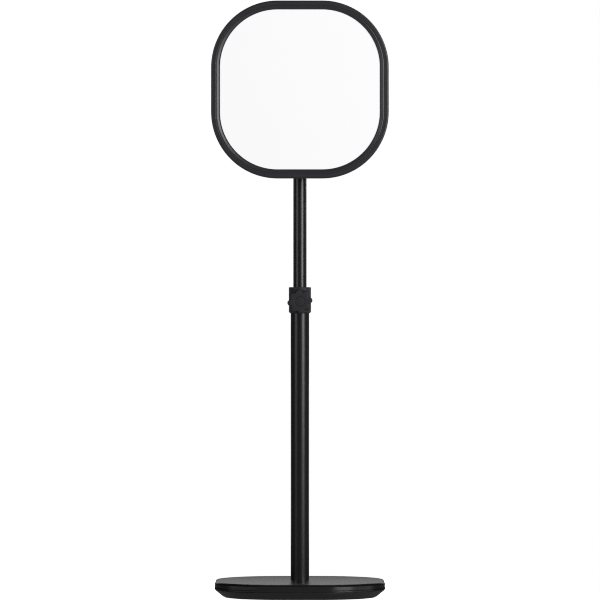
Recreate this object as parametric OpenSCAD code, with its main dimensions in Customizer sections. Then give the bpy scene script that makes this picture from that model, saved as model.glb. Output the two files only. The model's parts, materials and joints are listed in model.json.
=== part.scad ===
// Desk LED panel light: a slim square-round light head on a ball joint, carried by a two-part
// telescopic pole with a hand-knob clamp, standing on a weighted base.
// Millimetres, +Z up, the light faces -Y, origin at the centre of the base's underside.

/* [Light panel] */
// Width and height of the light panel
panel_w = 206.2; // [200:0.1:215]
// Corner radius of the panel's outline
panel_r = 77.1; // [74:0.1:80]
// Thickness from the back face to the crown of the bezel
panel_t = 22; // [22:0.5:25]
// Width of the bezel that frames the diffuser
bezel_w = 10.4; // [9.4:0.1:12]
// Height of the panel's centre above the table
head_z = 590.6; // [570:0.1:620]
// Distance from the ball's centre to the panel's back face
head_reach = 37; // [37:1:42]

/* [Controls] */
// Radius of the power button
power_button_r = 4.5; // [4:0.1:4.8]
// Radius of the three smaller keys
key_r = 3.5; // [3:0.1:3.8]
// How far the buttons stand out of the back
button_proud = 1.2; // [0.6:0.1:1.5]

/* [Ball joint] */
// Radius of the ball
ball_r = 10; // [9:0.1:10]
// Outer radius of the housing round the ball
housing_r = 15; // [15:0.5:17]
// How far the panel can nod forward, in degrees
nod_limit = 12; // [5:1:14]

/* [Pole] */
// Outer diameter of the upper tube
upper_tube_d = 15.5; // [15:0.1:16]
// Length of the upper tube
upper_tube_l = 330; // [310:1:340]
// Outer diameter of the lower tube
lower_tube_d = 21.6; // [21.4:0.1:22]
// Wall thickness of both tubes
tube_wall = 1.2; // [1:0.1:1.3]

/* [Clamp] */
// Height of the clamp's lower edge above the table
clamp_z = 330.8; // [320:0.1:338]
// Height of the clamp collar
clamp_h = 30.6; // [30:0.1:33]
// Diameter of the clamp collar
clamp_d = 26; // [25.8:0.1:28]
// Radius of the ring on which the clamp knob's lobes sit
knob_ring_r = 10; // [9.8:0.1:11]
// Radius of each lobe of the clamp knob
knob_lobe_r = 4.7; // [4:0.1:4.8]
// Number of lobes on the clamp knob
knob_lobes = 8; // [6:1:9]
// Angle at which the tightened clamp knob comes to rest
knob_turn = 7.5; // [0:0.5:45]

/* [Base] */
// Width and depth of the base
base_w = 199; // [190:0.5:210]
// Corner radius of the base's outline
base_r = 77.3; // [70:0.1:80]
// Height of the base
base_h = 18.2; // [17.4:0.1:19]

/* [Hidden] */
$fn = 72;
over = 1; // how far a cutter runs past the face it opens

// Base, from the table up
pad_t = 0.8;
pan_inset = 10;
pan_floor = 2;
seam_z = 8.8;
base_wall = 2.4;
base_fillet = 3.2;
shell_depth = 20;
pad_inset = 11.5;
weight_inset = 11;
weight_z = 3;
weight_top = 10.8;
bolt_recess_r = 8.5;
bolt_recess_h = 5.4;
bolt_r = 4;
bolt_head_r = 6.5;
bolt_head_h = 3.8;
washer_t = 1.2;
base_screw_at = 58;
base_screw_r = 1.5;
base_screw_top = 14.2;

// Pole
lower_r = lower_tube_d / 2;
upper_r = upper_tube_d / 2;
lower_bore = lower_r - tube_wall;
upper_bore = upper_r - tube_wall;
slip = 0.05;
lower_top = clamp_z + 7.2;
foot_plug_l = 24;
guide_bush_l = 20;
guide_flange_t = 1.2;
upper_tube_top = head_z - 28;
upper_tube_z = upper_tube_top - upper_tube_l;
slide_bush_l = 18;
clip_t = 1;
clip_groove = 0.3;

// Clamp: depths are measured from the pole's axis towards the front
knob_z = clamp_z + 13.6;
clamp_chamfer = 1.5;
boss_reach = 16.5;
insert_depth = 9.5;
insert_r = 4;
screw_r = 3;
pad_face = upper_r + 0.1;
pad_back = 10.4;
knob_back = 17.5;
knob_h = 12;
knob_edge = 2.6;
cap_r = 5.7;
cap_recess = 0.8;
cap_t = 1.2;

// Ball joint: heights are measured from the ball's centre
housing_bottom = 26;
housing_rise = 7;
spigot_h = 3;
socket_h = 12;
lock_drop = 17;
lock_boss_r = 6.5;
lock_boss_reach = 18;
lock_knob_back = 19;
lock_knob_h = 11;
cup_top = 7.2;
stem_r = 4;
slot_play = 0.75;
stud_flange = 26;
stud_flange_t = 2;
lock_ring_t = 4;
stud_washer_t = 0.9;
stud_r = 3.175; // 1/4-20 photo thread

// Panel: heights are measured from the back face towards the front
seam = panel_t - 8;
shell = 2.2;
rear_fillet = 7;
crown_r = 3.6;
outer_band = 4.4;
lip_z = panel_t - 2;
gasket_t = 0.4;
diffuser_t = 2;
guide_t = 4;
sheet_t = 0.4;
tray_t = 1.2;
diffuser_z = lip_z - gasket_t - diffuser_t;
guide_z = diffuser_z - guide_t;
sheet_z = guide_z - sheet_t;
tray_z = sheet_z - tray_t;
tray_inset = 3.6;
strip_inset = tray_inset + tray_t;
strip_t = 0.4;
chip_t = 0.8;
chip_w = 3;
chip_h = 2.8;
guide_inset = 6.6;
boss_r = 22;
boss_h = 4;
insert_out_r = 5;
plate_w = 44;
plate_t = 2;
board_t = 1.6;
board_z = tray_z - 2.8;
board_w = 90;
board_h = 36;
board_y = -66;
jack_x = 30;
key_xs = [-14, -3, 8];
power_x = -30;
key_y = board_y;
lead_r = 0.4;
lead_y = -(panel_w / 2 - 5.9);

// ---------------------------------------------------------------- shared shapes

// A w x h rectangle with corner arcs of radius r
module rounded_rect(w, h, r) {
    square([w, h - 2 * r], center = true);
    square([w - 2 * r, h], center = true);
    for (x = [-1, 1], y = [-1, 1])
        translate([x * (w / 2 - r), y * (h / 2 - r)]) circle(r);
}

// The outline of a w-wide rounded square, brought in by inset all round
module outline(w, r, inset = 0) {
    rounded_rect(w - 2 * inset, w - 2 * inset, r - inset);
}

// The flat band between two insets of one outline
module band(w, r, outer, inner) {
    difference() {
        outline(w, r, outer);
        outline(w, r, inner);
    }
}

// Carries a cross-section round a rounded square: x is its inset from the outline, y its height
module rim(w, r) {
    side = w - 2 * r;
    for (turn = [0:90:270]) rotate(turn) {
        translate([side / 2, side / 2, 0])
            rotate_extrude(angle = 90) translate([r, 0]) mirror([1, 0]) children();
        translate([w / 2, side / 2, 0])
            rotate([90, 0, 0]) linear_extrude(side) mirror([1, 0]) children();
    }
}

// A block from x = 0, y = 0 whose corner at the origin is rounded
module rounded_corner(depth, height, fillet) {
    translate([fillet, 0]) square([depth - fillet, height]);
    translate([0, fillet]) square([depth, height - fillet]);
    translate([fillet, fillet]) circle(fillet);
}

// Cross-section of a tray's edge: a floor and a wall of one thickness, rounded where they meet
module tray_section(depth, height, fillet, wall) {
    difference() {
        rounded_corner(depth, height, fillet);
        translate([wall, wall]) rounded_corner(depth, height, max(fillet - wall, 0.2));
    }
}

// A tube standing on z = 0
module tube(r, bore, h) {
    difference() {
        cylinder(r = r, h = h);
        translate([0, 0, -over]) cylinder(r = bore, h = h + 2 * over);
    }
}

// Turns +Z to the front (-Y), starting at a depth and height on the pole's axis
module facing_front(depth, z) {
    translate([0, -depth, z]) rotate([90, 0, 0]) children();
}

// Turns +Z to the back (+Y)
module facing_back(depth, z) {
    translate([0, depth, z]) rotate([-90, 0, 0]) children();
}

// The panel's own frame: x across, y up, z from the back face to the front
module on_panel() {
    facing_front(head_reach, head_z) children();
}

module at_corners(x, y) {
    for (i = [-1, 1], j = [-1, 1]) translate([i * x, j * y, 0]) children();
}

// A round hand knob with lobes, its back face on z = 0 and a cap's recess in front
module hand_knob(lobes, lobe_r, ring_r, h, turn) {
    tip_r = ring_r + lobe_r;
    difference() {
        intersection() {
            linear_extrude(h) {
                circle(ring_r);
                for (i = [0:lobes - 1]) rotate(turn + i * 360 / lobes)
                    translate([ring_r, 0]) circle(lobe_r);
            }
            rotate_extrude() translate([0, h]) mirror([0, 1]) {
                square([tip_r - knob_edge, h]);
                translate([0, knob_edge]) square([tip_r, h - knob_edge]);
                translate([tip_r - knob_edge, knob_edge]) circle(knob_edge);
            }
        }
        translate([0, 0, h - cap_recess]) cylinder(r = cap_r + slip, h = cap_recess + over);
        translate([0, 0, -over]) cylinder(r = screw_r, h = h - 2 + over);
    }
}

// The cap in a hand knob's recess, with a bevelled rim
module knob_cap(h) {
    translate([0, 0, h - cap_recess]) {
        cylinder(r = cap_r, h = cap_t - 0.4);
        translate([0, 0, cap_t - 0.4]) cylinder(r1 = cap_r, r2 = cap_r - 0.6, h = 0.4);
    }
}

// A hexagonal driver recess
module hex_recess(r, depth) {
    translate([0, 0, -over]) cylinder(r = r, h = depth + over, $fn = 6);
}

// ---------------------------------------------------------------- base

module at_base_screws() {
    at_corners(base_screw_at, base_screw_at) children();
}

module base_cover() color("#2b2b2d") {
    top_in = base_h - base_wall;
    difference() {
        union() {
            translate([0, 0, base_h]) mirror([0, 0, 1]) rim(base_w, base_r)
                tray_section(shell_depth, base_h - seam_z, base_fillet, base_wall);
            translate([0, 0, top_in]) linear_extrude(base_wall) outline(base_w, base_r, shell_depth);
            at_base_screws() translate([0, 0, weight_top + 0.2])
                cylinder(r = 4, h = top_in - weight_top + 0.6);
        }
        translate([0, 0, seam_z]) cylinder(r = lower_r + 0.15, h = base_h);
        at_base_screws() translate([0, 0, seam_z])
            cylinder(r = base_screw_r, h = base_screw_top - seam_z);
    }
}

module base_pan() color("#232325") {
    lip_out = base_wall + 0.2;
    lip_in = lip_out + 1.4;
    slope = (seam_z - pad_t) / pan_inset;
    wall_shift = 3.2;
    floor_top = pad_t + pan_floor;
    difference() {
        union() {
            rim(base_w, base_r) polygon([
                [pan_inset, pad_t], [0, seam_z], [lip_out, seam_z],
                [lip_out, seam_z + 1.6], [lip_in, seam_z + 1.6],
                [lip_in, seam_z - (lip_in - wall_shift) * slope],
                [pan_inset + wall_shift - pan_floor / slope, floor_top],
                [shell_depth, floor_top], [shell_depth, pad_t]
            ]);
            translate([0, 0, pad_t]) linear_extrude(pan_floor) outline(base_w, base_r, shell_depth);
        }
        cylinder(r = bolt_recess_r, h = weight_z);
        at_base_screws() translate([0, 0, pad_t]) base_screw_shape(0.05);
    }
}

module base_weight() color("#55585c") {
    difference() {
        translate([0, 0, weight_z]) linear_extrude(weight_top - weight_z)
            outline(base_w, base_r, weight_inset);
        translate([0, 0, weight_z - over]) cylinder(r = bolt_recess_r, h = bolt_recess_h + over);
        cylinder(r = bolt_r + 0.2, h = weight_top + over);
        at_base_screws() cylinder(r = base_screw_r + 0.7, h = weight_top + over);
    }
}

module foot_pad() color("#111112") {
    difference() {
        linear_extrude(pad_t) outline(base_w, base_r, pad_inset);
        translate([0, 0, -over]) linear_extrude(over + pad_t / 2)
            band(base_w, base_r, pad_inset + 5, pad_inset + 7);
    }
}

// A countersunk screw standing on its head; play widens it into the hole it needs
module base_screw_shape(play = 0) {
    head_h = 1.6;
    cylinder(r1 = 2 * base_screw_r + 0.1 + play, r2 = base_screw_r + play, h = head_h);
    cylinder(r = base_screw_r + play, h = base_screw_top - pad_t);
}

module base_screws() color("#8a8c90") {
    at_base_screws() translate([0, 0, pad_t]) difference() {
        base_screw_shape();
        hex_recess(1.2, 1.2);
    }
}

module pole_bolt() color("#8a8c90") {
    washer_z = weight_z + bolt_recess_h - washer_t;
    difference() {
        union() {
            translate([0, 0, washer_z - bolt_head_h]) cylinder(r = bolt_head_r, h = bolt_head_h);
            translate([0, 0, washer_z - bolt_head_h]) cylinder(r = bolt_r, h = bolt_head_h + 20);
        }
        translate([0, 0, washer_z - bolt_head_h]) hex_recess(2.9, 2.4);
    }
}

module pole_washer() color("#a9abad") {
    translate([0, 0, weight_z + bolt_recess_h - washer_t])
        tube(bolt_recess_r - 0.4, bolt_r + 0.2, washer_t);
}

module foot_plug() color("#8a8c90") {
    translate([0, 0, weight_top]) tube(lower_bore, bolt_r, foot_plug_l);
}

// ---------------------------------------------------------------- pole

module lower_tube() color("#1d1d1f") {
    translate([0, 0, weight_top]) tube(lower_r, lower_bore, lower_top - weight_top);
}

module guide_bush() color("#17171a") {
    translate([0, 0, lower_top - guide_bush_l]) tube(lower_bore, upper_r + slip, guide_bush_l);
    translate([0, 0, lower_top]) tube(lower_r, upper_r + slip, guide_flange_t);
}

module upper_tube() color("#1d1d1f") {
    translate([0, 0, upper_tube_z]) difference() {
        tube(upper_r, upper_bore, upper_tube_l);
        translate([0, 0, slide_bush_l + 0.1]) tube(upper_r + over, upper_r - clip_groove, clip_t);
    }
}

module tube_end_plug() color("#17171a") {
    translate([0, 0, upper_tube_z - 2]) cylinder(r = upper_r + 1, h = 2);
    translate([0, 0, upper_tube_z]) cylinder(r = upper_bore, h = 10);
}

module slide_bush() color("#d8d6cf") {
    translate([0, 0, upper_tube_z + 0.05]) tube(lower_bore - slip, upper_r + slip, slide_bush_l);
}

module bush_clip() color("#a9abad") {
    translate([0, 0, upper_tube_z + slide_bush_l + 0.1])
        tube(upper_r + 1, upper_r - clip_groove, clip_t);
}

// ---------------------------------------------------------------- clamp

module clamp_collar() color("#323034") {
    difference() {
        union() {
            translate([0, 0, clamp_z])
                cylinder(r1 = clamp_d / 2 - clamp_chamfer, r2 = clamp_d / 2, h = clamp_chamfer);
            translate([0, 0, clamp_z + clamp_chamfer])
                cylinder(d = clamp_d, h = clamp_h - clamp_chamfer);
            facing_front(0, knob_z) linear_extrude(boss_reach) rounded_rect(16, 18, 3);
        }
        translate([0, 0, clamp_z - over])
            cylinder(r = lower_r, h = lower_top + guide_flange_t - clamp_z + over);
        translate([0, 0, clamp_z]) cylinder(r = upper_r + 0.15, h = clamp_h + over);
        facing_front(0, knob_z) cylinder(r = screw_r + slip, h = boss_reach);
        facing_front(insert_depth, knob_z) cylinder(r = insert_r, h = boss_reach);
        facing_back(0, clamp_z + 4.5) cylinder(r = 1.5, h = clamp_d);
    }
}

module clamp_insert() color("#b08d45") {
    facing_front(insert_depth, knob_z) tube(insert_r, screw_r + slip, boss_reach - insert_depth);
}

module collar_grub_screw() color("#3a3a3d") {
    facing_back(lower_r, clamp_z + 4.5) difference() {
        cylinder(r = 1.5, h = 2);
        translate([0, 0, 1]) cylinder(r = 0.75, h = 1 + over, $fn = 6);
    }
}

module clamp_pad() color("#d8d6cf") {
    facing_front(pad_face, knob_z) cylinder(r = screw_r - 0.1, h = pad_back - pad_face);
}

module clamp_screw() color("#8a8c90") {
    facing_front(pad_back + slip, knob_z)
        cylinder(r = screw_r, h = knob_back + knob_h - 2 - pad_back - slip);
}

module clamp_knob() color("#323034") {
    facing_front(knob_back, knob_z)
        hand_knob(knob_lobes, knob_lobe_r, knob_ring_r, knob_h, knob_turn);
}

module clamp_knob_cap() color("#3a383c") {
    facing_front(knob_back, knob_z) knob_cap(knob_h);
}

// ---------------------------------------------------------------- ball joint

module neck_socket() color("#252527") {
    bottom = head_z - housing_bottom - socket_h;
    difference() {
        union() {
            translate([0, 0, bottom]) cylinder(r1 = upper_r + 2.4, r2 = housing_r, h = socket_h / 2);
            translate([0, 0, bottom + socket_h / 2]) cylinder(r = housing_r, h = socket_h / 2);
            translate([0, 0, bottom]) cylinder(r = ball_r + 0.1, h = socket_h + spigot_h);
        }
        translate([0, 0, bottom - over])
            cylinder(r = upper_r, h = upper_tube_top - bottom + over);
        translate([0, 0, bottom + socket_h * 0.6]) rotate([0, 90, 0]) cylinder(r = 2, h = 20);
    }
}

module neck_grub_screw() color("#3a3a3d") {
    translate([upper_r, 0, head_z - housing_bottom - socket_h * 0.4]) rotate([0, 90, 0])
        difference() {
            cylinder(r = 2, h = 6);
            translate([0, 0, 4]) cylinder(r = 1.1, h = 2 + over, $fn = 6);
        }
}

// Room for the stem from its lowest angle up to vertical
module stem_slot() {
    reach = housing_r + 5;
    half_w = stem_r + slot_play;
    nod = nod_limit + 1;
    translate([0, 0, head_z]) rotate([90 + nod, 0, 0]) cylinder(r = half_w, h = reach);
    translate([half_w, 0, head_z]) rotate([0, -90, 0]) linear_extrude(2 * half_w)
        polygon([[0, 0], [-reach * sin(nod), -reach * cos(nod)], [reach, -reach], [reach, 0]]);
}

module ball_housing() color("#252527") {
    bottom = head_z - housing_bottom;
    top = head_z + housing_rise;
    bevel = 1.2;
    difference() {
        union() {
            translate([0, 0, bottom]) cylinder(r = housing_r, h = top - bevel - bottom);
            translate([0, 0, top - bevel])
                cylinder(r1 = housing_r, r2 = housing_r - bevel, h = bevel);
            facing_back(0, head_z - lock_drop) cylinder(r = lock_boss_r, h = lock_boss_reach);
        }
        translate([0, 0, bottom - over]) cylinder(r = ball_r + 0.1, h = housing_bottom + over);
        translate([0, 0, head_z]) sphere(r = ball_r + slip);
        facing_back(0, head_z - lock_drop)
            cylinder(r = screw_r + slip, h = lock_boss_reach + over);
        stem_slot();
    }
}

module ball_cup() color("#d8d6cf") {
    bottom = head_z - housing_bottom + spigot_h + 0.2;
    difference() {
        translate([0, 0, bottom]) cylinder(r = ball_r, h = head_z - cup_top - bottom);
        translate([0, 0, head_z]) sphere(r = ball_r + slip);
        facing_back(3, head_z - lock_drop) cylinder(r = screw_r, h = 20);
        facing_back(0, head_z - lock_drop) cylinder(r1 = 0.4, r2 = screw_r, h = 3);
    }
}

module lock_pin() color("#b08d45") {
    facing_back(0.3, head_z - lock_drop) cylinder(r1 = 0.3, r2 = screw_r - 0.1, h = 2.8);
    facing_back(3.1, head_z - lock_drop) cylinder(r = screw_r - 0.1, h = pad_back - 3.1);
}

module lock_screw() color("#8a8c90") {
    facing_back(pad_back + slip, head_z - lock_drop)
        cylinder(r = screw_r, h = lock_knob_back + lock_knob_h - 2 - pad_back - slip);
}

module lock_knob() color("#252527") {
    facing_back(lock_knob_back, head_z - lock_drop) hand_knob(6, 3.6, 7.8, lock_knob_h, 0);
}

module lock_knob_cap() color("#3a383c") {
    facing_back(lock_knob_back, head_z - lock_drop) knob_cap(lock_knob_h);
}

module ball_stud() color("#9a9ca0") {
    translate([0, 0, head_z]) sphere(r = ball_r);
    facing_front(0, head_z) cylinder(r = stem_r, h = stud_flange);
    facing_front(stud_flange, head_z) cylinder(r = 8.5, h = stud_flange_t);
    facing_front(stud_flange, head_z) cylinder(r = stud_r, h = head_reach + 5 - stud_flange);
}

module stud_lock_ring() color("#252527") {
    knurls = 24;
    facing_front(stud_flange + stud_flange_t, head_z) difference() {
        tube(ball_r, stud_r, lock_ring_t);
        for (i = [0:knurls - 1]) rotate(i * 360 / knurls)
            translate([ball_r + 0.4, 0, -over]) cylinder(r = 0.9, h = lock_ring_t + 2 * over);
    }
}

module stud_washer() color("#111112") {
    facing_front(stud_flange + stud_flange_t + lock_ring_t, head_z)
        tube(ball_r - 0.6, stud_r, stud_washer_t);
}

// ---------------------------------------------------------------- light head

function cover_screw_places() = [[-60, -60], [60, -60], [-60, 60], [60, 60], [-86, 0], [86, 0]];

module at_cover_screws() {
    for (p = cover_screw_places()) translate([p[0], p[1], 0]) children();
}

module at_board_screws() {
    translate([0, board_y, 0]) at_corners(board_w / 2 - 4, board_h / 2 - 4) children();
}

module at_plate_screws() {
    at_corners(13, 13) children();
}

module at_leads() {
    for (x = [-1.6, 1.6]) translate([x, 0, 0]) children();
}

// The bezel's cross-section: a rounded outer band, a fine step, and a band that falls to the window
module front_bezel() color("#37363a") {
    step = 0.5;
    edge_drop = 1.1;
    on_panel() rim(panel_w, panel_r) {
        difference() {
            translate([0, panel_t]) mirror([0, 1]) intersection() {
                rounded_corner(2 * crown_r, panel_t - seam, crown_r);
                square([outer_band, panel_t - seam]);
            }
            translate([shell, seam - over]) square([outer_band, lip_z - seam + over]);
        }
        polygon([
            [outer_band - 0.2, lip_z], [outer_band - 0.2, panel_t - step], [outer_band, panel_t - step],
            [bezel_w, panel_t - edge_drop], [bezel_w, lip_z]
        ]);
    }
}

module diffuser() color("#fbfbfc") {
    on_panel() translate([0, 0, diffuser_z]) linear_extrude(diffuser_t)
        outline(panel_w, panel_r, strip_inset + 0.2);
}

module diffuser_gasket() color("#1a1a1b") {
    on_panel() translate([0, 0, lip_z - gasket_t]) linear_extrude(gasket_t)
        band(panel_w, panel_r, strip_inset + 1.2, bezel_w - 0.2);
}

module light_guide_plate() color("#e8f0f4") {
    on_panel() translate([0, 0, guide_z]) linear_extrude(guide_t)
        outline(panel_w, panel_r, guide_inset);
}

module reflector_sheet() color("#f4f4f2") {
    on_panel() translate([0, 0, sheet_z]) linear_extrude(sheet_t)
        outline(panel_w, panel_r, guide_inset);
}

module led_strip() color("#e6e2d2") {
    on_panel() translate([0, 0, sheet_z + 0.2]) linear_extrude(guide_t)
        band(panel_w, panel_r, strip_inset, strip_inset + strip_t);
}

// One chip with its back on the strip, facing the light guide's edge
module led_chip() {
    translate([-chip_t / 2 - 0.02, 0, guide_z + guide_t / 2])
        cube([chip_t, chip_w, chip_h], center = true);
}

module led_chips() color("#f2d94e") {
    side = panel_w - 2 * panel_r;
    face = strip_inset + strip_t;
    per_side = 6;
    per_corner = 12;
    on_panel() for (turn = [0:90:270]) rotate(turn) {
        for (i = [0:per_side - 1])
            translate([panel_w / 2 - face, side * ((i + 0.5) / per_side - 0.5), 0]) led_chip();
        translate([side / 2, side / 2, 0]) for (i = [0:per_corner - 1])
            rotate(90 * (i + 0.5) / per_corner) translate([panel_r - face, 0, 0]) led_chip();
    }
}

module heat_sink_tray() color("#b9bcbf") {
    on_panel() difference() {
        union() {
            translate([0, 0, tray_z]) linear_extrude(tray_t) outline(panel_w, panel_r, tray_inset);
            translate([0, 0, tray_z]) linear_extrude(diffuser_z + 1.6 - tray_z)
                band(panel_w, panel_r, tray_inset, strip_inset);
        }
        at_cover_screws() translate([0, 0, tray_z - over]) cylinder(r = 1.5, h = tray_t + 2 * over);
        at_leads() translate([0, lead_y, tray_z - over])
            cylinder(r = lead_r + 0.2, h = tray_t + 2 * over);
    }
}

// Slots through the back that let warm air out above the mount
module vent_slots() {
    slot_w = 2.2;
    slot_l = 16;
    for (x = [-45:6:45]) translate([x, 66, 0]) linear_extrude(shell + 2 * over) {
        square([slot_w, slot_l - slot_w], center = true);
        for (end = [-1, 1]) translate([0, end * (slot_l - slot_w) / 2]) circle(slot_w / 2);
    }
}

module rear_cover() color("#2c2b2e") {
    bosses_from = shell - 0.6;
    on_panel() difference() {
        union() {
            rim(panel_w, panel_r) {
                tray_section(shell_depth, seam, rear_fillet, shell);
                translate([shell, seam - 2]) square([0.9, 2]);
                translate([shell + 0.2, seam - 1]) square([0.9, 2.4]);
            }
            linear_extrude(shell) outline(panel_w, panel_r, shell_depth);
            translate([0, 0, -boss_h]) cylinder(r1 = boss_r - 1.5, r2 = boss_r, h = 1.5);
            translate([0, 0, 1.5 - boss_h]) cylinder(r = boss_r, h = boss_h);
            at_cover_screws() translate([0, 0, bosses_from])
                cylinder(r = 4, h = tray_z - bosses_from);
            at_board_screws() translate([0, 0, bosses_from])
                cylinder(r = 2.6, h = board_z - bosses_from);
        }
        translate([0, 0, -boss_h - over]) cylinder(r = insert_out_r, h = boss_h + shell + 2 * over);
        at_cover_screws() translate([0, 0, -over]) cylinder(r = 3.1, h = 2.6 + over);
        at_cover_screws() cylinder(r = 1.5, h = panel_t);
        at_plate_screws() translate([0, 0, -2.4]) cylinder(r = 1.25, h = panel_t);
        at_board_screws() translate([0, 0, board_z - 4]) cylinder(r = 1, h = panel_t);
        translate([jack_x, board_y, -over]) cylinder(r = 4.6, h = shell + 2 * over);
        translate([power_x, key_y, -over])
            cylinder(r = power_button_r + 0.08, h = shell + 2 * over);
        for (x = key_xs) translate([x, key_y, -over])
            cylinder(r = key_r + 0.08, h = shell + 2 * over);
        translate([0, 0, -over]) vent_slots();
    }
}

module mount_plate() color("#9a9ca0") {
    on_panel() translate([0, 0, shell]) difference() {
        linear_extrude(plate_t) rounded_rect(plate_w, plate_w, 5);
        translate([0, 0, -over]) cylinder(r = insert_out_r, h = plate_t + 2 * over);
        at_plate_screws() translate([0, 0, -over]) cylinder(r = 1.5, h = plate_t + 2 * over);
    }
}

module mount_insert() color("#b08d45") {
    flange_z = shell + plate_t;
    on_panel() difference() {
        union() {
            translate([0, 0, -boss_h]) cylinder(r = insert_out_r, h = flange_z + boss_h);
            translate([0, 0, flange_z]) cylinder(r = 7.5, h = 1.8);
        }
        translate([0, 0, -boss_h - over]) cylinder(r = stud_r + slip, h = panel_t);
    }
}

module mount_plate_screws() color("#8a8c90") {
    head_z0 = shell + plate_t;
    on_panel() at_plate_screws() difference() {
        union() {
            translate([0, 0, head_z0]) cylinder(r = 2.6, h = 1.8);
            translate([0, 0, -2.4]) cylinder(r = 1.25, h = head_z0 + 2.4 + 0.5);
        }
        translate([0, 0, head_z0 + 0.9]) cylinder(r = 1, h = 2, $fn = 6);
    }
}

module cover_screws() color("#4a4a4d") {
    on_panel() at_cover_screws() difference() {
        union() {
            translate([0, 0, 0.6]) cylinder(r = 2.9, h = 2);
            translate([0, 0, 0.6]) cylinder(r = 1.5, h = tray_z + 0.4);
        }
        translate([0, 0, 0.6]) hex_recess(1.3, 1.2);
    }
}

module control_board() color("#1f4a33") {
    on_panel() translate([0, board_y, board_z]) difference() {
        linear_extrude(board_t) rounded_rect(board_w, board_h, 3);
        translate([0, -board_y, -over]) at_board_screws() cylinder(r = 1.2, h = board_t + 2 * over);
    }
}

module board_screws() color("#8a8c90") {
    on_panel() at_board_screws() {
        translate([0, 0, board_z + board_t]) cylinder(r = 2, h = 1);
        translate([0, 0, board_z - 4]) cylinder(r = 1, h = board_t + 4);
    }
}

// A component w x h on the board's rear side, standing t off it
module component(x, y, w, h, t) {
    translate([x - w / 2, board_y + y - h / 2, board_z - t]) cube([w, h, t]);
}

module board_components() color("#26262b") {
    on_panel() {
        component(30, 12, 14, 7, 1.6);
        component(8, 11, 9, 9, 1.2);
        component(-14, 11, 16, 9, 2.4);
        component(14, -11, 12, 8, 4.5);
        component(-8, -12, 6, 6, 3);
        translate([-32, board_y + 11, board_z - 5]) cylinder(r = 4, h = 5);
        translate([0, board_y - 11, board_z - 5]) cylinder(r = 3, h = 5);
    }
}

module tact_switches() color("#3c3c40") {
    on_panel() for (x = concat([power_x], key_xs)) translate([x, key_y, board_z]) {
        translate([-3, -3, -4]) cube([6, 6, 4]);
        translate([0, 0, -4.8]) cylinder(r = 1.7, h = 1);
    }
}

module dc_jack() color("#141416") {
    depth = board_z;
    on_panel() translate([jack_x, board_y, 0]) {
        difference() {
            union() {
                cylinder(r = 4.5, h = depth);
                translate([-5.5, -5.5, shell + 0.2]) cube([11, 11, depth - shell - 0.2]);
            }
            translate([0, 0, -over]) cylinder(r = 3.15, h = depth - 1 + over);
        }
        translate([0, 0, 1.2]) cylinder(r = 1, h = depth - 2);
    }
}

module led_leads() color("#a02a24") {
    z = board_z + board_t + lead_r + 0.1;
    on_panel() at_leads() {
        translate([0, board_y - board_h / 2 + 3, z]) rotate([90, 0, 0])
            cylinder(r = lead_r, h = board_y - board_h / 2 + 3 - lead_y);
        translate([0, lead_y, z]) sphere(r = lead_r);
        translate([0, lead_y, z]) cylinder(r = lead_r, h = guide_z + 1.5 - z);
    }
}

// A push button: a domed cap, a flange that keeps it in, and a stem that meets its switch
module push_button(x, r) {
    on_panel() translate([x, key_y, 0]) {
        translate([0, 0, -button_proud]) cylinder(r1 = r - 0.4, r2 = r, h = 0.4);
        translate([0, 0, 0.4 - button_proud]) cylinder(r = r, h = button_proud + shell);
        translate([0, 0, shell + 0.1]) cylinder(r = r + 1, h = 0.9);
        translate([0, 0, shell]) cylinder(r = 1.5, h = board_z - 5.4 - shell);
    }
}

module power_button() color("#4a494d") push_button(power_x, power_button_r);

module brighter_button() color("#4a494d") push_button(key_xs[2], key_r);

module dimmer_button() color("#4a494d") push_button(key_xs[1], key_r);

module colour_button() color("#4a494d") push_button(key_xs[0], key_r);

base_cover();
base_pan();
base_weight();
foot_pad();
base_screws();
pole_bolt();
pole_washer();
foot_plug();
lower_tube();
guide_bush();
clamp_collar();
clamp_insert();
collar_grub_screw();
clamp_pad();
clamp_screw();
clamp_knob();
clamp_knob_cap();
slide_bush();
upper_tube();
tube_end_plug();
bush_clip();
neck_socket();
neck_grub_screw();
ball_housing();
ball_cup();
lock_pin();
lock_screw();
lock_knob();
lock_knob_cap();
ball_stud();
stud_lock_ring();
stud_washer();
front_bezel();
diffuser();
diffuser_gasket();
light_guide_plate();
reflector_sheet();
led_strip();
led_chips();
heat_sink_tray();
rear_cover();
mount_plate();
mount_insert();
mount_plate_screws();
cover_screws();
control_board();
board_screws();
board_components();
tact_switches();
dc_jack();
led_leads();
power_button();
brighter_button();
dimmer_button();
colour_button();
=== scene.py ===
"""Looks for the desk LED panel light: detailed shells, knobs and tubes around its CAD frame."""

import json
import math

import bmesh
import bpy
from mathutils import Matrix, Vector


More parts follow.
